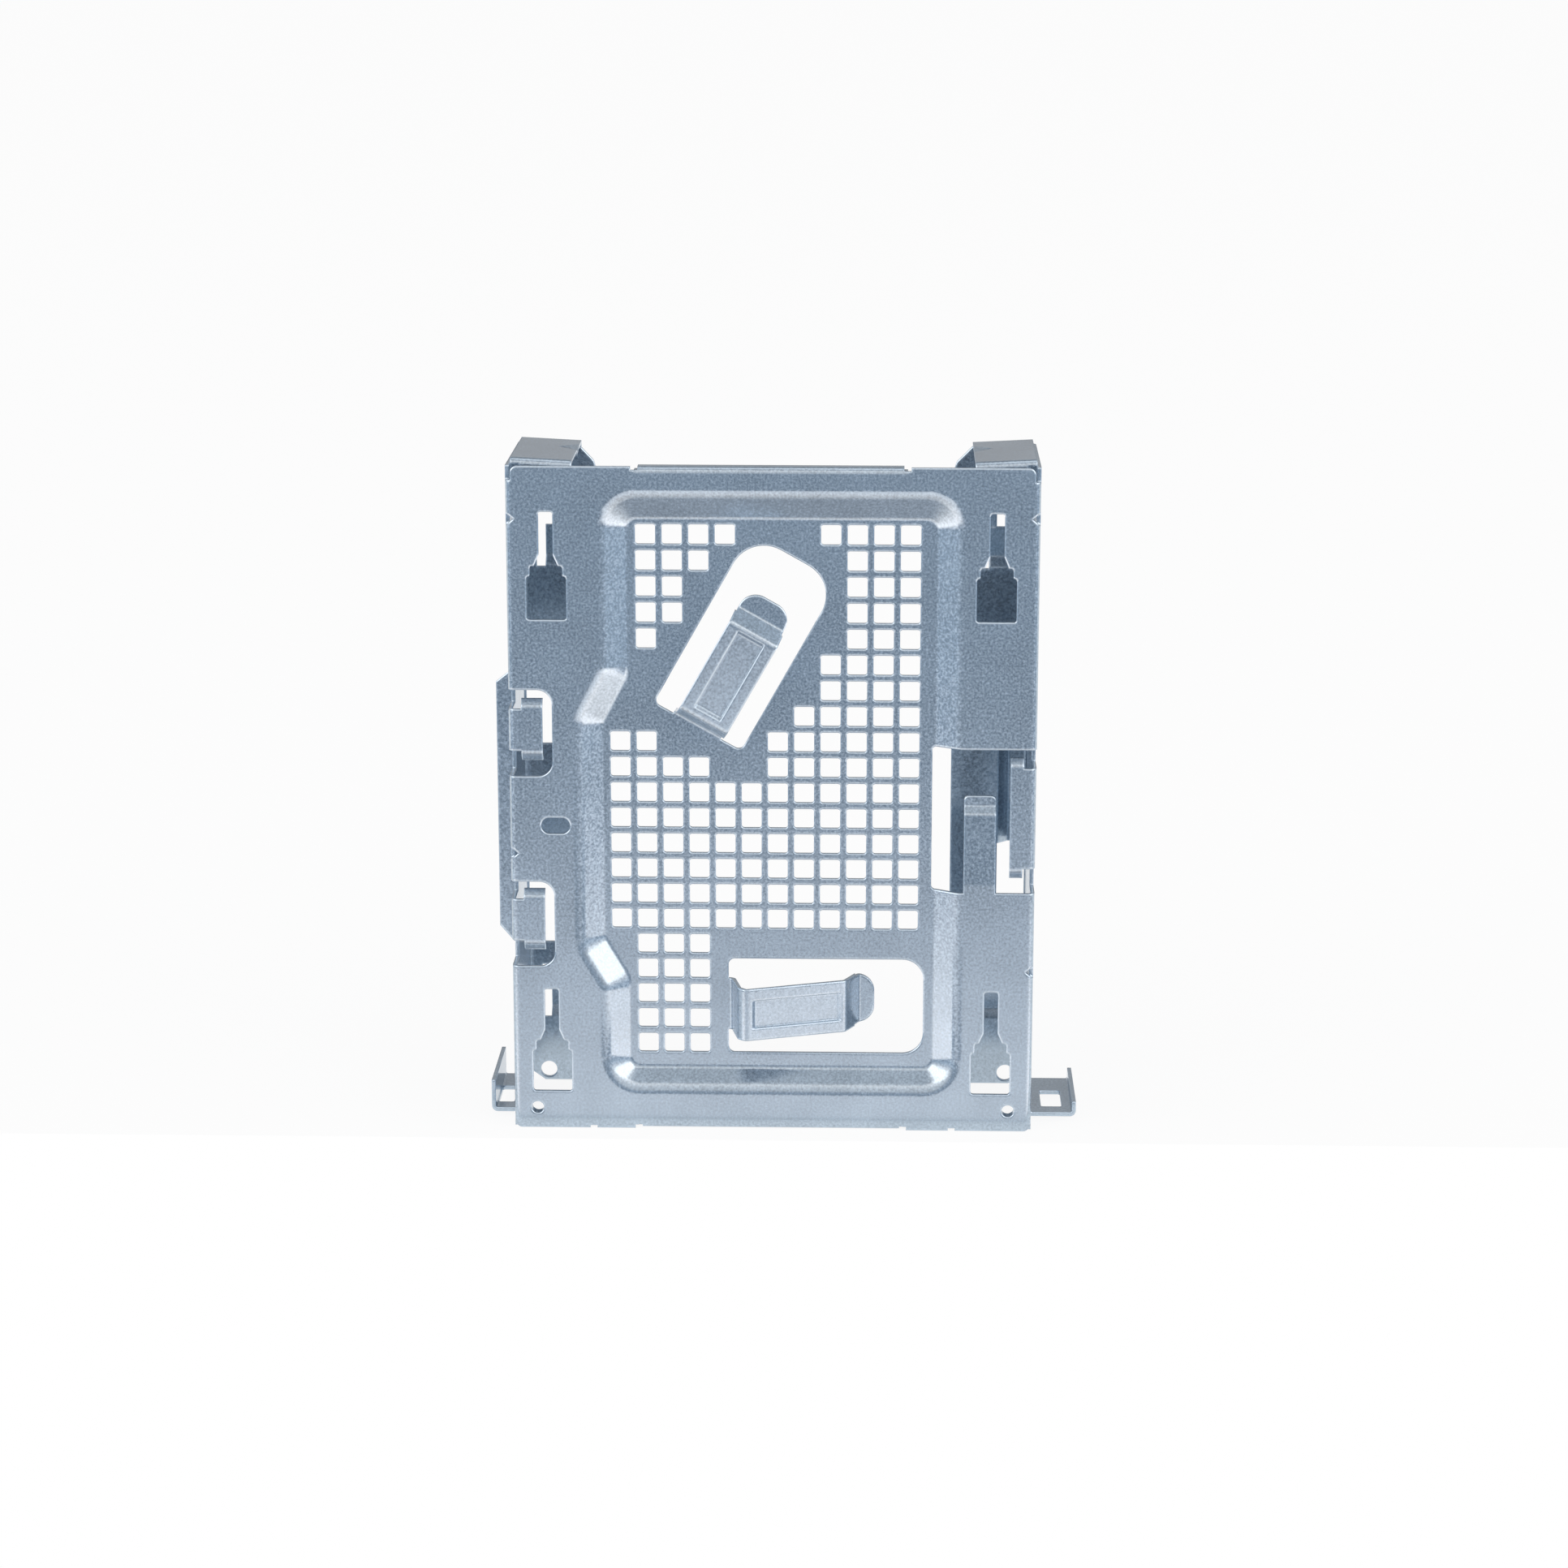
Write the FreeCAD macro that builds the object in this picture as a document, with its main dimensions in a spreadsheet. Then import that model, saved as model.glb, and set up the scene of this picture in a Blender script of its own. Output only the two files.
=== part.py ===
import FreeCAD, Part
import math
import os
import Sketcher

# A drive caddy folded from one piece of galvanised sheet steel.
# X runs across the front plate and is zero on its centre line.
# Y runs from the front face of the plate (zero) back into the drive bay.
# Z runs up from the bottom edge of the plate (zero), where the caddy stands.
# All sizes are in millimetres and angles in degrees.

NODE = "drive_caddy"

SIZES = {
    # the folded channel: plate, two side walls, two rear flanges
    "sheet": 0.8,
    "half_wide": 52.0,
    "tall": 134.7,
    "deep": 31.5,
    "bend_inside": 0.5,
    "lap": 0.5,
    "past": 1.0,
    "flange_left": 36.5,
    "flange_right": 35.7,
    "flange_corner_wide": 0.4,
    "flange_corner_drop": 3.8,
    "flange_corner_tall": 5.2,
    "flange_corner_round": 1.5,
    "flange_left_drop": 0.8,
    "flange_right_drop": 0.2,
    "flange_top_cut": 2.0,
    "foot_cut_wide": 3.6,
    "foot_cut_tall": 2.6,
    "plate_corner": 1.3,
    "corner_free": 2.8,
    "corner_gap": 0.25,
    "foot_corner": 1.6,
    # the panel pressed back into the plate
    "recess": 3.0,
    "panel_left": 28.6,
    "panel_right": 32.1,
    "panel_top": 124.2,
    "panel_low": 12.0,
    "panel_corner": 2.0,
    "jog_deep": 4.9,
    "jog_low_start": 30.6,
    "jog_low_end": 38.9,
    "jog_high_start": 83.5,
    "jog_high_end": 93.0,
    "jog_lean": 1.25,
    "slope_side": 4.7,
    "slope_top": 5.0,
    "slope_low": 3.4,
    "skin_shift": 0.22,
    "rim_bend": 3.4,
    "floor_bend": 1.0,
    # the square vents
    "vent": 3.95,
    "vent_round": 0.55,
    "vent_pitch": 5.19,
    "vent_first_x": 30.16,
    "vent_first_z": 120.95,
    # the bottle-shaped hanging holes
    "hole_left_x": 44.2,
    "hole_right_x": 43.67,
    "hole_high_z": 104.35,
    "hole_low_z": 7.65,
    "hole_tall": 21.4,
    "hole_body_tall": 8.65,
    "hole_step_tall": 2.05,
    "hole_neck_tall": 2.2,
    "hole_body": 3.9,
    "hole_shoulder": 3.2,
    "hole_taper": 2.35,
    "hole_stem": 1.4,
    "hole_round": 0.5,
    # the small slot and the two threaded collars
    "slot_x": 42.95,
    "slot_z": 62.8,
    "slot_long": 5.75,
    "slot_tall": 3.3,
    "slot_round": 1.63,
    "collar_x": 47.3,
    "collar_z": 4.2,
    "collar_bore": 2.5,
    "collar_wide": 4.0,
    "collar_deep": 1.6,
    # the screw holes of the rear flanges
    "drive_hole_x": 47.625,
    "drive_hole_z": 2.3,
    "drive_hole": 3.4,
    # the side openings of the plate, open round the bend into the walls
    "wall_cut_deep": 7.0,
    "side_cut_edge": 43.4,
    "side_cut_round": 3.0,
    "cut_high_low": 72.8,
    "cut_high_top": 90.3,
    "cut_low_low": 33.8,
    "cut_low_top": 51.3,
    "cut_right_edge": 31.5,
    "cut_right_low": 49.5,
    "cut_right_top": 78.8,
    "cut_right_round": 0.8,
    # the folded-in ears at those openings
    "ear_inner": 45.3,
    "ear_step": 49.5,
    "ear_right_inner": 46.9,
    "ear_curl": 1.2,
    "ear_round": 1.2,
    "ear_shoulder": 2.1,
    "ear_neck": 0.2,
    "ear_low_bend": 1.7,
    "ear_top_bend": 1.25,
    "ear_high_low": 75.9,
    "ear_high_top": 88.3,
    "ear_low_low": 37.0,
    "ear_low_top": 49.5,
    "ear_right_low": 52.5,
    "ear_right_top": 76.9,
    # the latch tongue in the right opening
    "latch_left": 37.85,
    "latch_right": 44.15,
    "latch_root": 49.0,
    "latch_bend": 51.3,
    "latch_step_low": 65.6,
    "latch_step_top": 67.7,
    "latch_top": 69.1,
    "latch_back": 1.2,
    "latch_lean": 0.4,
    "latch_round": 0.8,
    "latch_corner": 1.0,
    "latch_step_run": 0.6,
    # the two spring fingers and their windows
    "window_long": 39.0,
    "window_wide": 19.7,
    "window_round": 1.3,
    "flat_window_far_round": 4.2,
    "lean_window_far_round": 6.8,
    "flat_window_x": 8.87,
    "flat_window_z": 15.2,
    "lean_window_x": 23.48,
    "lean_window_z": 87.26,
    "lean_window_wide": 19.7,
    "lean_angle": 60.6,
    "finger_wide": 10.6,
    "finger_web": 5.7,
    "finger_set_back": 0.7,
    "finger_lip_wide": 10.0,
    "finger_lip_round": 3.5,
    "finger_narrows": 1.8,
    "flat_finger_across": 10.2,
    "lean_finger_across": 9.7,
    "finger_root": 0.6,
    "finger_knee": 2.0,
    "finger_knee_front": 3.6,
    "finger_crest": 3.5,
    "finger_web_start": 4.9,
    "finger_web_short": 0.8,
    "finger_straight_end": 23.5,
    "finger_lip_start": 26.2,
    "flat_finger_end": 29.2,
    "lean_finger_end": 30.2,
    "finger_front": 5.2,
    "flat_web_end_depth": 1.8,
    "flat_lip_depth": 7.6,
    "lean_web_end_depth": 6.0,
    "lean_lip_depth": 2.5,
    # the tabs at the top of the rear flanges
    "tab_top": 135.7,
    "tab_outer": 51.3,
    "tab_inner": 39.3,
    "tab_front": 4.4,
    "tab_lip": 2.6,
    "tab_lip_outer": 49.5,
    "tab_leg": 3.5,
    "tab_tilt": 2.9,
    "dart_from_rear": 10.2,
    "dart_long": 3.5,
    "dart_wide": 4.7,
    "dart_deep": 1.0,
    "dart_tip": 0.3,
    "dart_set": 0.15,
    # the shelves turned out from the feet of the walls
    "shelf_top": 2.0,
    "shelf_front": 6.1,
    "shelf_back": 28.3,
    "shelf_right": 61.3,
    "shelf_left": 57.2,
    "shelf_right_lip": 4.3,
    "shelf_left_lip": 7.8,
    "shelf_hole_front": 9.9,
    "shelf_hole_back": 20.0,
    "shelf_hole_start": 2.4,
    "shelf_hole_wide": 4.2,
    "shelf_left_hole_wide": 3.2,
    "shelf_left_hole_start": 1.0,
    "shelf_bend": 0.4,
    # the lug lanced out of the left wall
    "lug_outer": 57.4,
    "lug_low": 30.1,
    "lug_low_straight": 33.5,
    "lug_high_straight": 85.2,
    "lug_top": 88.3,
    "lug_low_in": 2.9,
    "lug_top_in": 3.9,
    # windows and small hooks in the rear flanges
    "window_bite": 0.05,
    "rear_window_outer": 51.2,
    "rear_window_inner": 42.5,
    "rear_window_high_low": 72.3,
    "rear_window_high_top": 88.0,
    "rear_window_low_low": 30.0,
    "rear_window_low_top": 48.0,
    "rear_window_right_in": 45.3,
    "rear_window_right_low": 30.0,
    "rear_window_right_top": 51.8,
    "step_top": 84.0,
    "step_in": 45.3,
    "step_out": 47.5,
    "step_deep": 2.3,
    "step_shift": 0.3,
    "hook_gap": 11.4,
    "hook_top_in": 44.4,
    "hook_foot": 0.4,
    "hook_set": 1.2,
    "hook_wide": 4.0,
    "hook_out": 46.9,
    "hook_side": 1.8,
    "hook_bend": 2.3,
    "hook_tall": 8.4,
    "hook_high_z": 109.2,
    "hook_low_z": 13.7,
    # relief cuts and the short turned edges of the plate
    "edge_left": 26.9,
    "edge_right": 26.2,
    "edge_deep": 2.8,
    "edge_relief": 0.7,
    "edge_relief_tall": 0.7,
    "low_relief_out": 36.0,
    "low_relief_rise": 0.5,
    "nick_tall": 2.2,
    "nick_deep": 1.6,
    "nick_left_high": 124.3,
    "nick_left_low": 57.1,
    "nick_right_high": 124.7,
    "nick_right_low": 33.25,
}


class Size:
    """A number kept together with the formula that ties it to the size sheet."""

    def __init__(self, value, text):
        self.value = value
        self.text = text

    @staticmethod
    def of(item):
        if isinstance(item, Size):
            return item
        return Size(float(item), repr(float(item)))

    def joined(self, sign, other, value):
        return Size(value, "(%s %s %s)" % (self.text, sign, other.text))

    def __add__(self, other):
        other = Size.of(other)
        return self.joined("+", other, self.value + other.value)

    def __sub__(self, other):
        other = Size.of(other)
        return self.joined("-", other, self.value - other.value)

    def __mul__(self, other):
        other = Size.of(other)
        return self.joined("*", other, self.value * other.value)

    def __truediv__(self, other):
        other = Size.of(other)
        return self.joined("/", other, self.value / other.value)

    def __radd__(self, other):
        return Size.of(other) + self

    def __rsub__(self, other):
        return Size.of(other) - self

    def __rmul__(self, other):
        return Size.of(other) * self

    def __neg__(self):
        return Size.of(-1.0) * self


class Table:
    """The size sheet: one row per size, read back by name."""

    def __init__(self, document, sizes):
        self.cells = document.addObject("Spreadsheet::Sheet", "Sizes")
        for row, (name, value) in enumerate(sizes.items(), start=1):
            self.cells.set("A%d" % row, name)
            self.cells.set("B%d" % row, str(value))
            self.cells.setAlias("B%d" % row, name)
            setattr(self, name, Size(value, "Sizes." + name))


doc = FreeCAD.newDocument("DriveCaddy")
s = Table(doc, SIZES)
doc.recompute()


def new_body(name):
    """A body that may hold several separate solids."""
    made = doc.addObject("PartDesign::Body", name)
    made.AllowCompound = True
    return made


# The formed sheet, the room cut out of it for folded parts,
# the folded parts themselves, and the holes cut last.
formed = new_body("FormedSheet")
rooms = new_body("Rooms")
folds = new_body("Folds")
holes = new_body("Holes")

# Each view names a base plane and the side its normal points to.
FRONT = ("XZ_Plane", -1.0)
ABOVE = ("XY_Plane", 1.0)
SIDE = ("YZ_Plane", 1.0)


def bind(thing, path, item):
    """Ties one property to a formula and gives it its first value."""
    thing.setExpression(path, Size.of(item).text)


def draw(body, name, view, start, outlines, spin=None, origin=None):
    """Makes a sketch at a height above its base plane from outlines of corners.

    A corner is (across, up) for a sharp one and (across, up, radius) for a round one.
    A circle is a pair of its centre and its radius.
    """
    plane, sign = view
    sketch = body.newObject("Sketcher::SketchObject", name)
    base = [item for item in body.Origin.OriginFeatures if item.Role == plane][0]
    sketch.AttachmentSupport = (base, [""])
    sketch.MapMode = "FlatFace"
    if spin is not None:
        axis, angle = spin
        turn = FreeCAD.Rotation(FreeCAD.Vector(*axis), angle.value)
        sketch.AttachmentOffset = FreeCAD.Placement(FreeCAD.Vector(), turn)
        bind(sketch, "AttachmentOffset.Rotation.Angle", angle)
    if origin is None:
        origin = (0, 0, Size.of(start) * sign)
    for axis_name, item in zip("xyz", origin):
        bind(sketch, "AttachmentOffset.Base." + axis_name, item)
    for outline in outlines:
        if isinstance(outline, tuple):
            add_circle(sketch, outline[0], outline[1])
        else:
            add_outline(sketch, outline)
    return sketch


def fix_point(sketch, geometry, position, x, z):
    """Fixes a point of a sketch at two distances from its origin."""
    for kind, item in (("DistanceX", x), ("DistanceY", z)):
        number = sketch.addConstraint(
            Sketcher.Constraint(kind, -1, 1, geometry, position, item.value))
        sketch.setExpression("Constraints[%d]" % number, item.text)


def add_circle(sketch, centre, radius):
    """Adds a circle whose centre and radius follow the size sheet."""
    x, z = Size.of(centre[0]), Size.of(centre[1])
    radius = Size.of(radius)
    up = FreeCAD.Vector(0, 0, 1)
    circle = sketch.addGeometry(
        Part.Circle(FreeCAD.Vector(x.value, z.value, 0), up, radius.value), False)
    fix_point(sketch, circle, 3, x, z)
    number = sketch.addConstraint(Sketcher.Constraint("Radius", circle, radius.value))
    sketch.setExpression("Constraints[%d]" % number, radius.text)


def add_outline(sketch, corners):
    """Adds a closed outline with sharp or rounded corners."""
    points = [(Size.of(c[0]), Size.of(c[1])) for c in corners]
    radii = [Size.of(c[2]) if len(c) > 2 else None for c in corners]
    places = [FreeCAD.Vector(x.value, z.value, 0) for x, z in points]
    count = len(places)
    starts, ends, arcs = [], [], []
    for i, here in enumerate(places):
        before = (places[i - 1] - here).normalize()
        after = (places[(i + 1) % count] - here).normalize()
        if radii[i] is None:
            ends.append(here)
            starts.append(here)
            arcs.append(None)
            continue
        half = before.getAngle(after) / 2
        back = radii[i].value / math.tan(half)
        first = here + before * back
        last = here + after * back
        middle_way = (before + after).normalize()
        centre = here + middle_way * (radii[i].value / math.sin(half))
        middle = centre - middle_way * radii[i].value
        ends.append(first)
        starts.append(last)
        arcs.append((first, middle, last))
    lines = []
    for i in range(count):
        line = Part.LineSegment(starts[i], ends[(i + 1) % count])
        lines.append(sketch.addGeometry(line, False))
    for i in range(count):
        line_in, line_out = lines[i - 1], lines[i]
        if arcs[i] is None:
            sketch.addConstraint(Sketcher.Constraint("Coincident", line_in, 2, line_out, 1))
            fix_point(sketch, line_out, 1, *points[i])
            continue
        curve = Part.Arc(*arcs[i])
        arc = sketch.addGeometry(curve, False)
        ordered = (sketch.getPoint(arc, 1) - arcs[i][0]).Length < 1e-4
        first, last = (1, 2) if ordered else (2, 1)
        sketch.addConstraint(Sketcher.Constraint("Tangent", line_in, 2, arc, first))
        sketch.addConstraint(Sketcher.Constraint("Tangent", line_out, 1, arc, last))
        number = sketch.addConstraint(Sketcher.Constraint("Radius", arc, radii[i].value))
        sketch.setExpression("Constraints[%d]" % number, radii[i].text)
        corner = sketch.addGeometry(Part.Point(places[i]), True)
        sketch.addConstraint(Sketcher.Constraint("PointOnObject", corner, 1, line_in))
        sketch.addConstraint(Sketcher.Constraint("PointOnObject", corner, 1, line_out))
        fix_point(sketch, corner, 1, *points[i])


def settle(feature):
    """Recomputes a new feature with its sketches and makes sure that it has worked."""
    profile = getattr(feature, "Profile", None)
    if profile:
        profile[0].recompute()
    for section, _ in getattr(feature, "Sections", []):
        section.recompute()
    feature.recompute()
    if "Invalid" in feature.State or "Error" in feature.State or feature.Shape.isNull():
        raise RuntimeError("%s failed: %s" % (feature.Name, feature.State))
    return feature


def pad(body, name, view, start, stop, outlines, spin=None, origin=None):
    """Adds a straight piece to a body between two heights above a base plane."""
    sketch = draw(body, name + "Outline", view, start, outlines, spin, origin)
    made = body.newObject("PartDesign::Pad", name)
    made.Profile = sketch
    made.Reversed = view[1] < 0
    bind(made, "Length", Size.of(stop) - start)
    return settle(made)


def room(name, view, start, stop, *outlines):
    """Clears room in the formed sheet before the folded parts are added."""
    return pad(rooms, name, view, start, stop, outlines)


def add(name, view, start, stop, outline, spin=None, origin=None):
    """Adds a folded part."""
    return pad(folds, name, view, start, stop, [outline], spin, origin)


def cut(name, view, start, stop, *outlines, spin=None, origin=None):
    """Cuts a hole after the folded parts are added."""
    return pad(holes, name, view, start, stop, outlines, spin, origin)


def box(left, right, low, top, radius=None):
    """The four corners of an upright rectangle."""
    corners = [(left, low), (right, low), (right, top), (left, top)]
    if radius is not None:
        corners = [corner + (radius,) for corner in corners]
    return corners


def loft(body, name, kind, first, second):
    """Joins two outlines of a body by flat or conical sides."""
    made = body.newObject("PartDesign::" + kind, name)
    made.Profile = first
    made.Sections = [(second, [""])]
    made.Ruled = True
    return settle(made)


# The channel: plate, side walls and rear flanges with rounded bends.
outside = s.sheet + s.bend_inside
wall = s.half_wide - s.sheet
back = s.deep - s.sheet
channel = [
    (-s.flange_left, s.deep),
    (-s.half_wide, s.deep, outside),
    (-s.half_wide, 0, outside),
    (s.half_wide, 0, outside),
    (s.half_wide, s.deep, outside),
    (s.flange_right, s.deep),
    (s.flange_right, back),
    (wall, back, s.bend_inside),
    (wall, s.sheet, s.bend_inside),
    (-wall, s.sheet, s.bend_inside),
    (-wall, back, s.bend_inside),
    (-s.flange_left, back),
]
pad(formed, "Channel", ABOVE, 0, s.tall, [channel])


# The panel is pressed back from the plate with sloping sides all round.
def panel_outline(side, top, low, lean, radius, inner_radius):
    """The panel's outline, grown from its floor by the given amounts."""
    left = -s.panel_left - side
    jog = left - s.jog_deep
    return [
        (s.panel_right + side, s.panel_low - low, radius),
        (s.panel_right + side, s.panel_top + top, radius),
        (left, s.panel_top + top, radius),
        (left, s.jog_high_end + lean, inner_radius),
        (jog, s.jog_high_start + lean, radius),
        (jog, s.jog_low_end - lean, radius),
        (left, s.jog_low_start - lean, inner_radius),
        (left, s.panel_low - low, radius),
    ]


rim_radius = s.panel_corner + s.slope_side
floor = panel_outline(Size.of(0), Size.of(0), Size.of(0), Size.of(0),
                      s.panel_corner, rim_radius)
rim = panel_outline(s.slope_side, s.slope_top, s.slope_low, s.jog_lean,
                    rim_radius, s.panel_corner)
skin_floor = panel_outline(s.skin_shift, s.skin_shift, s.skin_shift, Size.of(0),
                           s.panel_corner, rim_radius)
skin_rim = panel_outline(s.slope_side + s.skin_shift, s.slope_top + s.skin_shift,
                         s.slope_low + s.skin_shift, s.jog_lean,
                         rim_radius, s.panel_corner)
rear_rim = draw(formed, "PanelRearRim", FRONT, s.sheet, [skin_rim])
rear_floor = draw(formed, "PanelRearFloor", FRONT, s.recess + s.sheet, [skin_floor])
loft(formed, "PanelBack", "AdditiveLoft", rear_rim, rear_floor)
front_rim = draw(formed, "PanelFrontRim", FRONT, 0, [rim])
front_floor = draw(formed, "PanelFrontFloor", FRONT, s.recess, [floor])
loft(formed, "PanelFront", "SubtractiveLoft", front_rim, front_floor)


def sine(angle):
    """The sine of an angle of the size sheet, with its formula."""
    return Size(math.sin(math.radians(angle.value)), "sin(%s * 1 deg)" % angle.text)


def cosine(angle):
    """The cosine of an angle of the size sheet, with its formula."""
    return Size(math.cos(math.radians(angle.value)), "cos(%s * 1 deg)" % angle.text)


def round_off(name, radius, wanted):
    """Rounds every edge of the formed sheet that the test picks out."""
    base = formed.Tip
    edges = []
    for number, edge in enumerate(base.Shape.Edges, start=1):
        if wanted(edge):
            edges.append("Edge%d" % number)
    fillet = formed.newObject("PartDesign::Fillet", name)
    fillet.Base = (base, edges)
    bind(fillet, "Radius", radius)
    return settle(fillet)


def flat_at(depth):
    """A test for the edges of the pressed panel at one depth."""
    def wanted(edge):
        room = edge.BoundBox
        level = max(abs(room.YMin - depth.value), abs(room.YMax - depth.value)) < 1e-4
        inside = abs(room.Center.x) < 50 and 2 < room.Center.z < s.tall.value - 2
        return level and inside and room.DiagonalLength < s.tall.value
    return wanted


round_off("RimBend", s.rim_bend, flat_at(Size.of(0)))
round_off("RimBendBack", s.rim_bend - s.sheet, flat_at(s.sheet))
round_off("FloorBend", s.floor_bend, flat_at(s.recess))
round_off("FloorBendBack", s.floor_bend + s.sheet, flat_at(s.recess + s.sheet))

# Short turned edges at the top and bottom middle of the plate.
turned_top = [
    (0, s.tall, outside),
    (0, s.tall - outside * 2),
    (s.sheet, s.tall - outside * 2),
    (s.sheet, s.tall - s.sheet, s.bend_inside),
    (s.edge_deep, s.tall - s.sheet),
    (s.edge_deep, s.tall),
]
turned_low = [
    (0, 0, outside),
    (0, outside * 2),
    (s.sheet, outside * 2),
    (s.sheet, s.sheet, s.bend_inside),
    (s.edge_deep, s.sheet),
    (s.edge_deep, 0),
]
top_edge_cut = box(-s.edge_left, s.edge_right, s.tall - outside * 2, s.tall + s.past)
low_edge_cut = box(-s.edge_left, s.edge_right, -s.past, outside * 2)
room("TurnedEdgeRoom", FRONT, -s.past, s.sheet + s.past, top_edge_cut, low_edge_cut)
add("TurnedTop", SIDE, -s.edge_left, s.edge_right, turned_top)
add("TurnedFoot", SIDE, -s.edge_left, s.edge_right, turned_low)
reliefs = []
for middle in (-s.edge_left, s.edge_right):
    left, right = middle - s.edge_relief, middle + s.edge_relief
    reliefs.append(box(left, right, s.tall - s.edge_relief_tall, s.tall + s.past))
    reliefs.append(box(left, right, -s.past, s.edge_relief_tall))
for side in (-1, 1):
    outer = s.low_relief_out * side
    reliefs.append(box(outer - s.edge_relief, outer + s.edge_relief, -s.past, s.low_relief_rise))
cut("EdgeReliefs", FRONT, -s.past, s.edge_deep + s.past, *reliefs)

# Plate corners, free of the wall at the top, and nicks in the side bends.
corner_cuts = []
for side in (-1, 1):
    edge = (s.half_wide - s.sheet - s.corner_gap) * side
    away = (s.half_wide + s.past) * side
    corner_cuts.append([
        (away, s.tall - s.corner_free),
        (edge, s.tall - s.corner_free),
        (edge, s.tall, s.plate_corner),
        (edge - s.corner_free * side, s.tall),
        (edge - s.corner_free * side, s.tall + s.past),
        (away, s.tall + s.past),
    ])
    corner_cuts.append([
        (away, s.corner_free),
        (s.half_wide * side, s.corner_free),
        (s.half_wide * side, 0, s.foot_corner),
        ((s.half_wide - s.corner_free) * side, 0),
        ((s.half_wide - s.corner_free) * side, -s.past),
        (away, -s.past),
    ])
room("PlateCorners", FRONT, -s.past, outside, *corner_cuts)
nicks = []
for side, height in ((-1, s.nick_left_high), (-1, s.nick_left_low),
                     (1, s.nick_right_high), (1, s.nick_right_low)):
    nicks.append([
        ((s.half_wide + s.past) * side, height + s.nick_tall),
        ((s.half_wide + s.past) * side, height - s.nick_tall),
        ((s.half_wide - s.nick_deep) * side, height),
    ])
room("BendNicks", FRONT, -s.past, outside, *nicks)

# The rear flanges: soft inner corners at the top, room for the tabs and cut feet.
flange_cuts = []
for side, inner, drop in ((-1, s.flange_left, s.flange_left_drop),
                          (1, s.flange_right, s.flange_right_drop)):
    near_tab = s.tab_inner + s.flange_corner_wide
    flange_cuts.append([
        (s.tab_outer * side, s.tall + s.past),
        (s.tab_outer * side, s.tall - s.flange_top_cut),
        (near_tab * side, s.tall - s.flange_top_cut),
        (near_tab * side, s.tall - drop),
        ((inner + s.flange_corner_wide) * side, s.tall - s.flange_corner_drop,
         s.flange_corner_round),
        (inner * side, s.tall - s.flange_corner_tall),
        ((inner - s.past) * side, s.tall - s.flange_corner_tall),
        ((inner - s.past) * side, s.tall + s.past),
    ])
    flange_cuts.append([
        ((s.half_wide + s.past) * side, -s.past),
        ((s.half_wide - s.foot_cut_wide) * side, -s.past),
        ((s.half_wide - s.foot_cut_wide) * side, 0),
        (s.half_wide * side, s.foot_cut_tall),
        ((s.half_wide + s.past) * side, s.foot_cut_tall),
    ])
room("FlangeCorners", FRONT, s.deep - outside, s.deep + s.past, *flange_cuts)

# The top tabs lean down a little towards the middle and end in a front lip.
tab_reach = s.tab_outer - s.tab_inner
tab_profile = [
    (s.deep, -s.tab_leg),
    (s.deep, 0, outside),
    (s.tab_front, 0, outside),
    (s.tab_front, -s.tab_lip),
    (s.tab_front + s.sheet, -s.tab_lip),
    (s.tab_front + s.sheet, -s.sheet, s.bend_inside),
    (back, -s.sheet, s.bend_inside),
    (back, -s.tab_leg),
]
tab_run = tab_reach / cosine(s.tab_tilt)
add("TabLeft", SIDE, 0, tab_run, tab_profile, spin=((1, 0, 0), s.tab_tilt),
    origin=(0, s.tab_top, -s.tab_outer))
add("TabRight", SIDE, 0, tab_run, tab_profile, spin=((-1, 0, 0), s.tab_tilt),
    origin=(0, s.tab_top - tab_run * sine(s.tab_tilt), s.tab_inner))
lip_cuts = []
for side in (-1, 1):
    lip_cuts.append(box(s.tab_lip_outer * side, (s.half_wide + s.past) * side,
                        s.tab_top - s.tab_lip - s.past, s.tab_top - outside))
cut("LipEnds", FRONT, s.tab_front - s.past, s.tab_front + outside, *lip_cuts)

# A shallow dart is pressed down into the inner end of each tab.
tab_slope = sine(s.tab_tilt) / cosine(s.tab_tilt)
dart_level = s.tab_top - tab_run * sine(s.tab_tilt)
dart_y = s.deep - s.dart_from_rear


def dart_outline(from_mouth, half, deep, skin, rise):
    """A V across the tab at a distance from its inner end, a skin below the tab's top."""
    level = dart_level + tab_slope * from_mouth - skin
    return [
        (dart_y - half, level + rise),
        (dart_y - half, level),
        (dart_y, level - deep),
        (dart_y + half, level),
        (dart_y + half, level + rise),
    ]


for side, label in ((-1, "Left"), (1, "Right")):
    for body, name, from_mouth, skin, rise in (
            (folds, "Dart", s.dart_set, s.sheet, s.sheet / 2),
            (holes, "DartHollow", -s.past, Size.of(0), s.past)):
        mouth = draw(body, name + label + "Mouth", SIDE, (s.tab_inner + from_mouth) * side, [
            dart_outline(from_mouth, s.dart_wide, s.dart_deep, skin, rise)])
        tip = draw(body, name + label + "Tip", SIDE, (s.tab_inner + s.dart_long) * side, [
            dart_outline(s.dart_long, s.dart_tip, s.dart_tip, skin, rise)])
        loft(body, name + label, "AdditiveLoft", mouth, tip)

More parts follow.
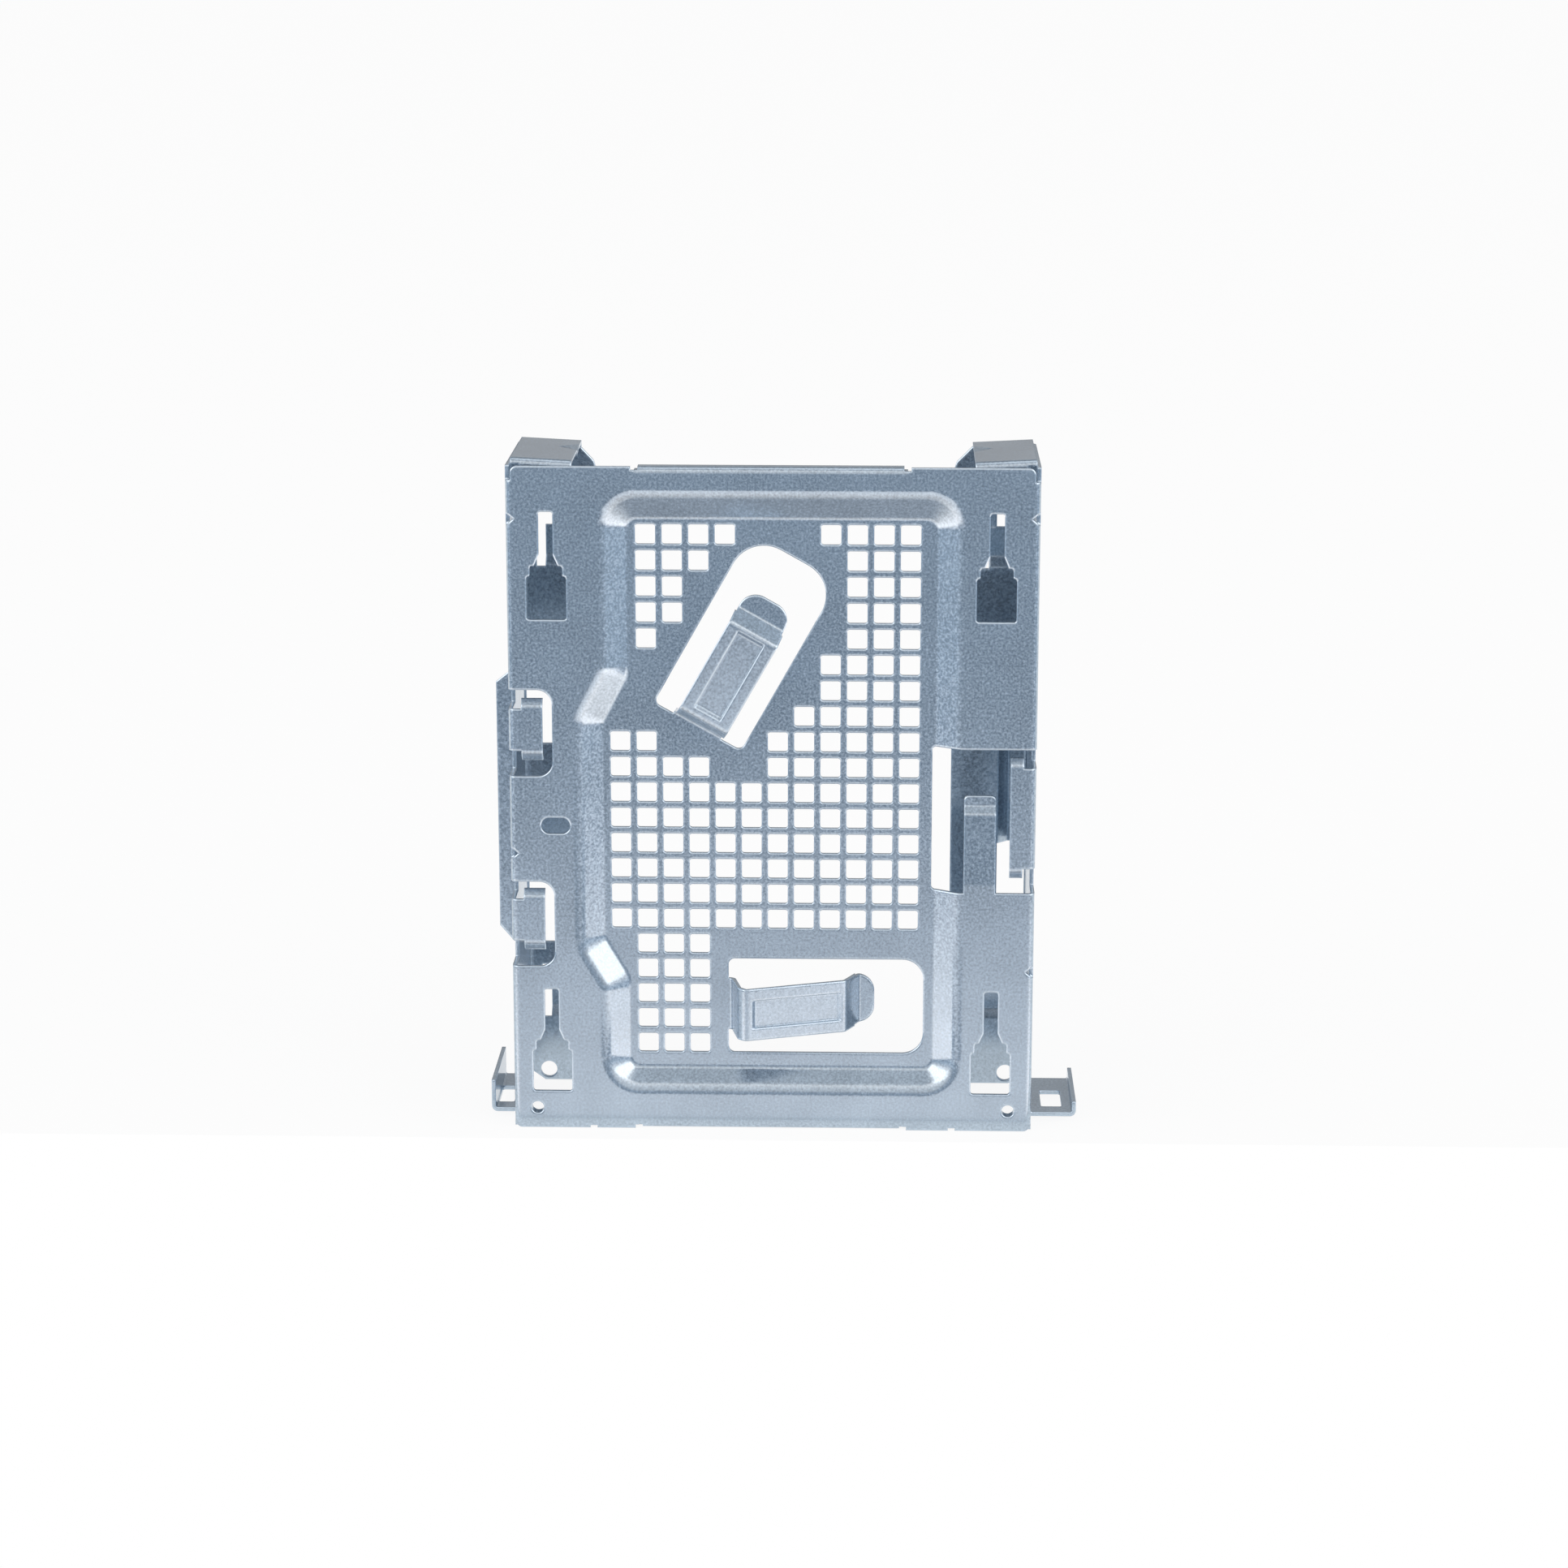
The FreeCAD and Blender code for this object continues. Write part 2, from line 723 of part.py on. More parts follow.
# Shelves turned out from the feet of the side walls.
shelf_low = s.shelf_top - s.sheet
shelf_leg = s.shelf_top + outside * 2
for side, label, reach, lip, hole_start, hole_wide in (
        (1, "Right", s.shelf_right, s.shelf_right_lip, s.shelf_hole_start, s.shelf_hole_wide),
        (-1, "Left", s.shelf_left, s.shelf_left_lip, s.shelf_left_hole_start,
         s.shelf_left_hole_wide)):
    room("Shelf%sRoom" % label, FRONT, s.shelf_front, s.shelf_back,
        box((wall - s.past) * side, (s.half_wide + s.past) * side, -s.past, shelf_leg))
    add("Shelf" + label, FRONT, s.shelf_front, s.shelf_back, [
        (wall * side, shelf_leg),
        (wall * side, shelf_low, outside),
        (reach * side, shelf_low, s.shelf_bend + s.sheet),
        (reach * side, lip),
        ((reach - s.sheet) * side, lip),
        ((reach - s.sheet) * side, s.shelf_top, s.shelf_bend),
        (s.half_wide * side, s.shelf_top, s.bend_inside),
        (s.half_wide * side, shelf_leg),
    ])
    near = (s.half_wide + hole_start) * side
    far = (s.half_wide + hole_start + hole_wide) * side
    cut("Shelf%sHole" % label, ABOVE, shelf_low - s.past, s.shelf_top + s.past,
        box(near, far, s.shelf_hole_front, s.shelf_hole_back, s.hole_round))

# The lug of the left wall lies flat in the rear plane, with its lanced slot behind it.
lug_root = s.rear_window_outer
add("Lug", FRONT, back, s.deep, [
    (-lug_root, s.lug_low),
    (-(s.lug_outer - s.lug_low_in), s.lug_low),
    (-s.lug_outer, s.lug_low_straight),
    (-s.lug_outer, s.lug_high_straight),
    (-(s.lug_outer - s.lug_top_in), s.lug_top),
    (-lug_root, s.lug_top),
])
room("LugSlot", SIDE, -(s.half_wide + s.lap), -(wall - s.lap),
    box(back - (s.lug_outer - s.half_wide), back, s.lug_low_straight, s.lug_high_straight))

# The right flange steps back beside the wall over its middle height.
room("StepRoom", FRONT, back - s.past, s.deep + s.past,
    box(s.step_in, s.half_wide + s.past, s.rear_window_right_top, s.step_top))
add("Step", ABOVE, s.rear_window_right_top, s.step_top, [
    (s.step_in - s.lap, back),
    (s.step_in, back),
    (s.step_out, back + s.step_deep),
    (wall, back + s.step_deep, s.bend_inside),
    (wall, back - s.past),
    (s.half_wide, back - s.past),
    (s.half_wide, s.deep + s.step_deep, outside),
    (s.step_out - s.step_shift, s.deep + s.step_deep),
    (s.step_in - s.step_shift, s.deep),
    (s.step_in - s.lap, s.deep),
])

# Openings of the rear flanges.
room("RearWindows", FRONT, back - s.window_bite, s.deep + s.past,
    box(-s.rear_window_outer, -s.rear_window_inner, s.rear_window_high_low,
        s.rear_window_high_top),
    box(-s.rear_window_outer, -s.rear_window_inner, s.rear_window_low_low,
        s.rear_window_low_top),
    box(s.rear_window_right_in, s.rear_window_outer, s.rear_window_right_low,
        s.rear_window_right_top))
hook_rooms = []
for side in (-1, 1):
    inner = (s.hook_out - s.hook_wide - s.hook_side) * side
    outer = (s.hook_out + s.hook_side) * side
    for low in (s.hook_high_z, s.hook_low_z):
        hook_rooms.append([
            (inner, low),
            (outer, low),
            (outer, low + s.hook_gap),
            (s.hook_top_in * side, low + s.hook_gap),
            (s.hook_top_in * side, low + s.hook_tall),
            (inner, low + s.hook_tall),
        ])
room("HookRooms", FRONT, back - s.past, s.deep + s.past, *hook_rooms)
for side, label in ((-1, "Left"), (1, "Right")):
    for low, place in ((s.hook_high_z, "High"), (s.hook_low_z, "Low")):
        start = s.hook_out - s.hook_wide if side > 0 else -s.hook_out
        add("Hook" + label + place, SIDE, start, start + s.hook_wide, [
            (back, low - s.lap),
            (back, low + s.hook_foot),
            (back + s.hook_set, low + s.hook_bend),
            (back + s.hook_set, low + s.hook_tall),
            (s.deep + s.hook_set, low + s.hook_tall),
            (s.deep + s.hook_set, low + s.hook_bend),
            (s.deep, low),
            (s.deep, low - s.lap),
        ])
screw_holes = []
for side in (-1, 1):
    screw_holes.append(((s.drive_hole_x * side, s.drive_hole_z), s.drive_hole / 2))
cut("ScrewHoles", FRONT, back - s.past, s.deep + s.past, *screw_holes)

# The large side openings of the plate run round the bend into the walls.
side_openings = []
for low, top in ((s.cut_high_low, s.cut_high_top), (s.cut_low_low, s.cut_low_top)):
    side_openings.append([
        (-(s.half_wide + s.past), low),
        (-s.side_cut_edge, low, s.side_cut_round),
        (-s.side_cut_edge, top, s.side_cut_round),
        (-(s.half_wide + s.past), top),
    ])
side_openings.append([
    (s.half_wide + s.past, s.cut_right_low),
    (s.cut_right_edge, s.cut_right_low, s.cut_right_round),
    (s.cut_right_edge, s.cut_right_top, s.cut_right_round),
    (s.half_wide + s.past, s.cut_right_top),
])
room("SideOpenings", FRONT, -s.past, s.wall_cut_deep, *side_openings)

# Ears folded in from the walls stand in those openings, level with the plate.
for side, label, low, top, inner in (
        (-1, "LeftHigh", s.ear_high_low, s.ear_high_top, s.ear_inner),
        (-1, "LeftLow", s.ear_low_low, s.ear_low_top, s.ear_inner),
        (1, "Right", s.ear_right_low, s.ear_right_top, s.ear_right_inner)):
    add("EarBend" + label, ABOVE, low + s.ear_shoulder, top - s.ear_shoulder + s.ear_neck, [
        (s.half_wide * side, s.wall_cut_deep + s.past),
        (s.half_wide * side, 0, outside),
        ((s.ear_step - s.lap) * side, 0),
        ((s.ear_step - s.lap) * side, s.sheet),
        (wall * side, s.sheet, s.bend_inside),
        (wall * side, s.wall_cut_deep + s.past),
    ])
    start = inner if side > 0 else -s.ear_step
    stop = s.ear_step if side > 0 else -inner
    add("Ear" + label, SIDE, start, stop, [
        (s.ear_curl, low),
        (0, low + s.ear_low_bend, s.ear_round),
        (0, top - s.ear_top_bend, s.ear_round),
        (s.ear_curl, top),
        (s.ear_curl + s.sheet, top),
        (s.sheet, top - s.ear_top_bend - s.ear_neck),
        (s.sheet, low + s.ear_low_bend + s.ear_neck),
        (s.ear_curl + s.sheet, low),
    ])

# The latch tongue rises from the lower edge of the right opening.
latch_mid = s.latch_lean + s.latch_back
add("Latch", SIDE, s.latch_left, s.latch_right, [
    (0, s.latch_root),
    (0, s.latch_bend, s.latch_round),
    (s.latch_lean, s.latch_step_low, s.latch_round),
    (latch_mid, s.latch_step_top - s.latch_step_run),
    (latch_mid, s.latch_top),
    (latch_mid + s.sheet, s.latch_top),
    (latch_mid + s.sheet, s.latch_step_top - s.latch_step_run * 1.5),
    (s.latch_lean + s.sheet, s.latch_step_low - s.latch_step_run / 2, s.latch_round),
    (s.sheet, s.latch_bend, s.latch_round),
    (s.sheet, s.latch_root),
])
latch_corners = []
for edge, inner in ((s.latch_left, 1), (s.latch_right, -1)):
    latch_corners.append([
        (edge - inner, s.latch_top - s.latch_corner * 2),
        (edge, s.latch_top - s.latch_corner * 2),
        (edge, s.latch_top, s.latch_corner),
        (edge + s.latch_corner * 2 * inner, s.latch_top),
        (edge + s.latch_corner * 2 * inner, s.latch_top + s.past),
        (edge - inner, s.latch_top + s.past),
    ])
cut("LatchCorners", FRONT, 0, latch_mid + s.sheet + s.past, *latch_corners)

# Windows of the two spring fingers, one level and one leaning.
level_left = -s.flat_window_x
level_right = s.window_long - s.flat_window_x
level_top = s.flat_window_z + s.window_wide
level_window = [
    (level_left, s.flat_window_z, s.window_round),
    (level_right, s.flat_window_z, s.flat_window_far_round),
    (level_right, level_top, s.flat_window_far_round),
    (level_left, level_top, s.window_round),
]
lean_x, lean_z = cosine(s.lean_angle), sine(s.lean_angle)


def lean_point(along, across):
    """A point of the leaning window from distances along and across it."""
    return (lean_x * along + lean_z * across - s.lean_window_x,
            lean_z * along - lean_x * across + s.lean_window_z)


lean_window = [
    lean_point(0, 0) + (s.window_round,),
    lean_point(s.window_long, 0) + (s.lean_window_far_round,),
    lean_point(s.window_long, s.lean_window_wide) + (s.lean_window_far_round,),
    lean_point(0, s.lean_window_wide) + (s.window_round,),
]
room("FingerWindows", FRONT, s.recess - s.lap, s.recess + s.sheet + s.lap,
     level_window, lean_window)


# How far the rear face lies from the front face at each bend of a finger,
# along the finger and in depth, counted in sheets.
REAR_SHIFTS = [(0, 1), (0.81, 1), (0.92, 0.48), (0.37, 1.07), (-0.6, 0.91), (-0.56, 1), (0, 1)]


def finger(label, lean, place, straight_end_depth, lip_depth, end):
    """A spring finger: stepped forward at its root, with a set-back web and an end lip."""
    from_above = None if lean is None else ((0, -1, 0), lean)
    from_front = None if lean is None else ((0, 0, 1), lean)

    def at(along, shift):
        """A point on the long straight of the finger, shifted in depth."""
        share = (along - s.finger_crest) / (s.finger_straight_end - s.finger_crest)
        return (along, -s.finger_front + (straight_end_depth + s.finger_front) * share + shift)

    tight = s.bend_inside
    path = [
        (-s.lap, s.recess, None, None),
        (s.finger_root, s.recess, tight, outside),
        (s.finger_knee, -s.finger_knee_front, outside, tight),
        (s.finger_crest, -s.finger_front, outside, tight),
        (s.finger_straight_end, straight_end_depth, outside, tight),
        (s.finger_lip_start, lip_depth, tight, outside),
        (end, lip_depth, None, None),
    ]
    front_side = []
    rear_side = []
    for (along, depth, front_round, rear_round), (forth, behind) in zip(path, REAR_SHIFTS):
        front_corner = (along, depth)
        rear_corner = (along + s.sheet * forth, depth + s.sheet * behind)
        if front_round is not None:
            front_corner += (front_round,)
            rear_corner += (rear_round,)
        front_side.append(front_corner)
        rear_side.append(rear_corner)
    add("Finger" + label, ABOVE, 0, s.finger_wide, front_side + rear_side[::-1],
        spin=from_above, origin=place(-s.finger_wide / 2))

    web_end = s.finger_straight_end - s.finger_web_short
    web_origin = place(-s.finger_web / 2)
    cut("FingerWebFront" + label, ABOVE, 0, s.finger_web, [
        at(s.finger_web_start, -s.lap),
        at(web_end, -s.lap),
        at(web_end, 0),
        at(web_end - s.finger_set_back, s.finger_set_back),
        at(s.finger_web_start + s.finger_set_back, s.finger_set_back),
        at(s.finger_web_start, 0),
    ], spin=from_above, origin=web_origin)
    add("FingerWebBack" + label, ABOVE, 0, s.finger_web, [
        at(s.finger_web_start, s.sheet / 2),
        at(web_end, s.sheet / 2),
        at(web_end, s.sheet),
        at(web_end - s.finger_set_back, s.sheet + s.finger_set_back),
        at(s.finger_web_start + s.finger_set_back, s.sheet + s.finger_set_back),
        at(s.finger_web_start, s.sheet),
    ], spin=from_above, origin=web_origin)

    x, _, z = place(Size.of(0))
    trim_start = s.finger_straight_end + s.finger_narrows
    trim_end = end + s.past
    away = s.finger_wide / 2 + s.past
    half_lip = s.finger_lip_wide / 2
    front = s.finger_front + s.past
    cut("FingerTrim" + label, FRONT, -front, s.flat_lip_depth + s.sheet + s.past, [
        (trim_start, -away),
        (trim_start, -half_lip),
        (end, -half_lip, s.finger_lip_round),
        (end, half_lip, s.finger_lip_round),
        (trim_start, half_lip),
        (trim_start, away),
        (trim_end, away),
        (trim_end, -away),
    ], spin=from_front, origin=(x, z, front))


def level_place(offset):
    """The frame of the level finger, offset across it from its middle line."""
    return (-s.flat_window_x, 0, s.flat_window_z + s.flat_finger_across + offset)


def lean_place(offset):
    """The frame of the leaning finger, offset across it from its middle line."""
    x, z = lean_point(0, s.lean_finger_across - offset)
    return (x, 0, z)


finger("Level", None, level_place, s.flat_web_end_depth, s.flat_lip_depth,
       s.flat_finger_end)
finger("Leaning", s.lean_angle, lean_place,
       -s.lean_web_end_depth, -s.lean_lip_depth, s.lean_finger_end)

# Bottle-shaped hanging holes, the small slot and the two threaded collars.
hanging = []
for x in (-s.hole_left_x, s.hole_right_x):
    for z in (s.hole_high_z, s.hole_low_z):
        step = z + s.hole_body_tall
        neck = step + s.hole_step_tall
        stem = neck + s.hole_neck_tall
        hanging.append([
            (x - s.hole_body, z, s.hole_round),
            (x + s.hole_body, z, s.hole_round),
            (x + s.hole_body, step, s.hole_round),
            (x + s.hole_shoulder, step, s.hole_round * 0.5),
            (x + s.hole_shoulder, neck, s.hole_round),
            (x + s.hole_taper, neck),
            (x + s.hole_stem, stem),
            (x + s.hole_stem, z + s.hole_tall, s.hole_round),
            (x - s.hole_stem, z + s.hole_tall, s.hole_round),
            (x - s.hole_stem, stem),
            (x - s.hole_taper, neck),
            (x - s.hole_shoulder, neck, s.hole_round),
            (x - s.hole_shoulder, step, s.hole_round * 0.5),
            (x - s.hole_body, step, s.hole_round),
        ])
slot = box(-(s.slot_x + s.slot_long / 2), s.slot_long / 2 - s.slot_x,
           s.slot_z - s.slot_tall / 2, s.slot_z + s.slot_tall / 2, s.slot_round)
cut("Slot", FRONT, -s.past, s.sheet + s.past, slot)
for number, outline in enumerate(hanging, start=1):
    cut("HangingHole%d" % number, FRONT, -s.past, s.sheet + s.past, outline)
collars = []
bores = []
for side in (-1, 1):
    collars.append(((s.collar_x * side, s.collar_z), s.collar_wide / 2))
    bores.append(((s.collar_x * side, s.collar_z), s.collar_bore / 2))
pad(folds, "Collars", FRONT, s.sheet / 2, s.sheet + s.collar_deep, collars)
cut("CollarBores", FRONT, -s.past, s.sheet + s.collar_deep + s.past, *bores)

# Square vents in rows and columns around the finger windows.
VENT_BLOCKS = [
    # first column, columns, first row, rows
    (1, 2, 0, 4),
    (3, 1, 0, 2),
    (4, 1, 0, 1),
    (1, 1, 4, 1),
    (9, 3, 0, 10),
    (8, 1, 0, 1),
    (8, 1, 5, 5),
    (7, 1, 7, 3),
    (6, 1, 8, 2),
    (0, 2, 8, 2),
    (2, 2, 9, 1),
    (0, 12, 10, 6),
    (1, 3, 16, 5),
]
half_vent = s.vent / 2
for number, (column, columns, row, rows) in enumerate(VENT_BLOCKS, start=1):
    x = s.vent_pitch * column - s.vent_first_x
    z = s.vent_first_z - s.vent_pitch * row
    vent = cut("Vent%d" % number, FRONT, s.recess - s.lap, s.recess + s.sheet + s.lap,
               box(x - half_vent, x + half_vent, z - half_vent, z + half_vent, s.vent_round))
    runs = [run for run in (("H_Axis", columns), ("V_Axis", rows)) if run[1] > 1]
    if not runs:
        continue
    pattern = holes.newObject("PartDesign::LinearPattern", "VentBlock%d" % number)
    pattern.Originals = [vent]
    for suffix, (axis, count) in zip(("", "2"), runs):
        setattr(pattern, "Direction" + suffix, (vent.Profile[0], [axis]))
        setattr(pattern, "Reversed" + suffix, axis == "V_Axis")
        setattr(pattern, "Mode" + suffix, "Spacing")
        bind(pattern, "Offset" + suffix, s.vent_pitch)
        setattr(pattern, "Occurrences" + suffix, count)
        setattr(pattern, "Spacings" + suffix, [-1.0] * (count - 1))
    holes.Tip = pattern
    settle(pattern)


def joined(kind, name, base, tool):
    """Cuts or fuses two shapes and makes sure that the volume moves the right way."""
    made = doc.addObject("Part::" + kind, name)
    made.Base = base
    made.Tool = tool
    made.Refine = True
    doc.recompute()
    grew = made.Shape.Volume - base.Shape.Volume
    if abs(grew) < 1 or (grew > 0) != (kind == "Fuse"):
        raise RuntimeError("%s moved the volume by %.2f" % (name, grew))
    return made


cleared = joined("Cut", "ClearedSheet", formed, rooms)
folded = joined("Fuse", "FoldedSheet", cleared, folds)
caddy = joined("Cut", "Caddy", folded, holes)
caddy.Label = NODE
caddy.Placement = FreeCAD.Placement()
doc.recompute()

for item in doc.Objects:
    if "Invalid" in item.State or "Error" in item.State:
        raise RuntimeError("%s is in error" % item.Name)
shape = caddy.Shape
if shape.isNull() or not shape.isValid() or len(shape.Solids) != 1:
    raise RuntimeError("the caddy isn't one sound solid but %d" % len(shape.Solids))
os.makedirs("parts", exist_ok=True)
shape.exportStep("parts/%s.step" % NODE)
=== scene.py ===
import math

import bmesh
import bpy
from mathutils import Matrix, Vector

# A sheet-metal drive caddy standing on a pale floor, seen from slightly above.

NODE = "drive_caddy"

# Camera, from a fit of the plate's corners and holes in the photograph.
CAMERA_AT = (0.02133, -0.7442, 0.2563)
CAMERA_YAW = -0.0256
CAMERA_PITCH = 0.2431
CAMERA_ROLL = -0.0009
CAMERA_NEAR = 0.01
CAMERA_FAR = 50.0
SENSOR = 36.0
FOCAL_PIXELS = 4793.7
PHOTO_PIXELS = 1932

# Floor. Its glow is the share of plain white in what the camera and the steel see of it.
FLOOR_COLOUR = (0.91, 0.915, 0.92)
FLOOR_ROUGHNESS = 0.85
FLOOR_SPECULAR = 0.1
FLOOR_FRONT = -0.007
FLOOR_HALF = 4.5
FLOOR_GLOW = 0.9

WHITE = (1.0, 1.0, 1.0)

# What the steel mirrors, fitted by tone to the photograph: the height of the
# line of sight (-1 straight down) and the colour there.
SKY_GLOW = (
    (-1.0, (0.23, 0.26, 0.31)),
    (-0.93, (0.26, 0.30, 0.35)),
    (-0.70, (0.70, 0.70, 0.71)),
    (-0.30, (1.57, 1.52, 1.52)),
    (-0.275, (0.07, 0.16, 0.26)),
    (-0.12, (0.35, 0.45, 0.56)),
    (0.02, (0.52, 0.57, 0.64)),
    (0.12, (0.96, 0.96, 0.97)),
    (0.72, (0.96, 0.96, 0.97)),
    (0.80, (0.37, 0.42, 0.47)),
    (0.96, (0.37, 0.42, 0.47)),
    (1.0, (1.13, 1.13, 1.15)),
)
# How much of it shows, as the depth of the line of sight (-1 straight to the front).
DEPTH_SHADE = (
    (-1.0, (0.80, 0.80, 0.80)),
    (-0.93, (0.84, 0.84, 0.84)),
    (-0.58, (1.65, 1.51, 1.40)),
    (0.10, (1.15, 1.15, 1.15)),
    (0.60, (0.45, 0.45, 0.45)),
)

# Two square soft lamps, in front on the left and on the right, in metres and watts.
LAMPS = (
    ("SoftLeft", (-1.15, -0.80, 0.75)),
    ("SoftRight", (1.15, -0.72, 0.70)),
)
LAMP_AIM = (0.0, 0.0, 0.07)
LAMP_SIDE = 1.0
LAMP_POWER = 2.8

# Steel. The grain's dark and light places are shares of its colour, and so are its lighter bends and
# cut edges: rubbed zinc with a painted highlight.
STEEL_COLOUR = (0.48, 0.57, 0.66)
STEEL_METALLIC = 0.84
STEEL_SMOOTHEST = 0.13
STEEL_ROUGHEST = 0.25
DARK_SHARE = 0.74
LIGHT_SHARE = 1.20
RUBBED_AND_HIGHLIGHT_SHARE = 1.30

# How far a bend or a cut edge looks rounded, in metres.
EDGE_ROUND = 0.0006
EDGE_SAMPLES = 8

# Zinc grain: each noise's scale, detail and roughness, and the stretch of it that is used.
GRAIN_NOISE = (2000.0, 3.0, 0.7)
GRAIN_STRETCH = (0.34, 0.66)
CLOUD_NOISE = (90.0, 2.0, 0.5)
CLOUD_STRETCH = (0.3, 0.7)
CLOUD_SHARE = 0.25
GRAIN_BUMP = 0.06
GRAIN_HEIGHT = 0.00005
# How well the rounded normal agrees with the face's own, from plain to fully lightened; the
# lightening at bends and cut edges is rubbed zinc and a painted highlight.
RUBBED_AND_HIGHLIGHT_STRETCH = (0.99, 0.86)


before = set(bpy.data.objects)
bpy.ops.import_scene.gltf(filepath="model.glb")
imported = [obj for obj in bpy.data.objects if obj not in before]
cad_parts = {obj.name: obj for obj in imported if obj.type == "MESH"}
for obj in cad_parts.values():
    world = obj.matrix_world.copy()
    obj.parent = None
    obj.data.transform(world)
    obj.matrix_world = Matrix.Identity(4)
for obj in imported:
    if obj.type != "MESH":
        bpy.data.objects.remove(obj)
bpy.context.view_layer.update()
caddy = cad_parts[NODE]
scene = bpy.context.scene


def solid(colour, share=1.0):
    """A share of a colour, with full alpha."""
    return [share * value for value in colour] + [1.0]


def new_material(name):
    """A node material with its output and its surface shader."""
    material = bpy.data.materials.new(name)
    material.use_nodes = True
    tree = material.node_tree
    tree.nodes.clear()
    output = tree.nodes.new("ShaderNodeOutputMaterial")
    surface = tree.nodes.new("ShaderNodeBsdfPrincipled")
    tree.links.new(surface.outputs["BSDF"], output.inputs["Surface"])
    return material, tree, surface


def colour_mix(nodes):
    """A Mix node for colours."""
    mix = nodes.new("ShaderNodeMix")
    mix.data_type = "RGBA"
    return mix


def zinc_group():
    """A zinc coat's grain: masks for tint, roughness and lighter bends (rubbed zinc and a painted
    highlight), and a normal.
    """
    group = bpy.data.node_groups.new("ZincGrain", "ShaderNodeTree")
    for name in ("Vector", "Normal"):
        group.interface.new_socket(name, in_out="INPUT", socket_type="NodeSocketVector")
    for name in ("Tint", "Rough", "RubbedAndHighlight"):
        group.interface.new_socket(name, in_out="OUTPUT", socket_type="NodeSocketFloat")
    group.interface.new_socket("Normal", in_out="OUTPUT", socket_type="NodeSocketVector")
    nodes, links = group.nodes, group.links
    start = nodes.new("NodeGroupInput")
    end = nodes.new("NodeGroupOutput")

    def noise(scale, detail, roughness):
        node = nodes.new("ShaderNodeTexNoise")
        node.inputs["Scale"].default_value = scale
        node.inputs["Detail"].default_value = detail
        node.inputs["Roughness"].default_value = roughness
        links.new(start.outputs["Vector"], node.inputs["Vector"])
        return node.outputs["Fac"]

    def stretched(source, stretch):
        node = nodes.new("ShaderNodeMapRange")
        node.inputs["From Min"].default_value = stretch[0]
        node.inputs["From Max"].default_value = stretch[1]
        links.new(source, node.inputs["Value"])
        return node.outputs["Result"]

    grain = noise(*GRAIN_NOISE)
    cloud = noise(*CLOUD_NOISE)
    fine = stretched(grain, GRAIN_STRETCH)
    blend = nodes.new("ShaderNodeMix")
    blend.inputs["Factor"].default_value = CLOUD_SHARE
    links.new(fine, blend.inputs["A"])
    links.new(stretched(cloud, CLOUD_STRETCH), blend.inputs["B"])
    bump = nodes.new("ShaderNodeBump")
    bump.inputs["Strength"].default_value = GRAIN_BUMP
    bump.inputs["Distance"].default_value = GRAIN_HEIGHT
    links.new(grain, bump.inputs["Height"])
    links.new(start.outputs["Normal"], bump.inputs["Normal"])
    face = nodes.new("ShaderNodeNewGeometry")
    agree = nodes.new("ShaderNodeVectorMath")
    agree.operation = "DOT_PRODUCT"
    links.new(start.outputs["Normal"], agree.inputs[0])
    links.new(face.outputs["True Normal"], agree.inputs[1])
    links.new(blend.outputs["Result"], end.inputs["Tint"])
    links.new(fine, end.inputs["Rough"])
    # The mask for lighter bends and cut edges: rubbed zinc and a painted highlight.
    links.new(stretched(agree.outputs["Value"], RUBBED_AND_HIGHLIGHT_STRETCH), end.inputs["RubbedAndHighlight"])
    links.new(bump.outputs["Normal"], end.inputs["Normal"])
    return group


def steel_material():
    """Galvanised sheet steel: a satin bluish grey with a fine mottled grain."""
    material, tree, surface = new_material("GalvanisedSheet")
    nodes, links = tree.nodes, tree.links
    place = nodes.new("ShaderNodeTexCoord")
    soft = nodes.new("ShaderNodeBevel")
    soft.samples = EDGE_SAMPLES
    soft.inputs["Radius"].default_value = EDGE_ROUND
    zinc = nodes.new("ShaderNodeGroup")
    zinc.node_tree = zinc_group()
    links.new(place.outputs["Object"], zinc.inputs["Vector"])
    links.new(soft.outputs["Normal"], zinc.inputs["Normal"])
    tint = colour_mix(nodes)
    tint.inputs["A"].default_value = solid(STEEL_COLOUR, DARK_SHARE)
    tint.inputs["B"].default_value = solid(STEEL_COLOUR, LIGHT_SHARE)
    links.new(zinc.outputs["Tint"], tint.inputs["Factor"])
    # Bends and cut edges lightened: rubbed zinc and a painted highlight.
    rubbed_and_highlit = colour_mix(nodes)
    rubbed_and_highlit.inputs["B"].default_value = solid(STEEL_COLOUR, RUBBED_AND_HIGHLIGHT_SHARE)
    links.new(zinc.outputs["RubbedAndHighlight"], rubbed_and_highlit.inputs["Factor"])
    links.new(tint.outputs["Result"], rubbed_and_highlit.inputs["A"])
    rough = nodes.new("ShaderNodeMapRange")
    rough.inputs["To Min"].default_value = STEEL_SMOOTHEST
    rough.inputs["To Max"].default_value = STEEL_ROUGHEST
    links.new(zinc.outputs["Rough"], rough.inputs["Value"])
    surface.inputs["Metallic"].default_value = STEEL_METALLIC
    links.new(rubbed_and_highlit.outputs["Result"], surface.inputs["Base Color"])
    links.new(rough.outputs["Result"], surface.inputs["Roughness"])
    links.new(zinc.outputs["Normal"], surface.inputs["Normal"])
    return material


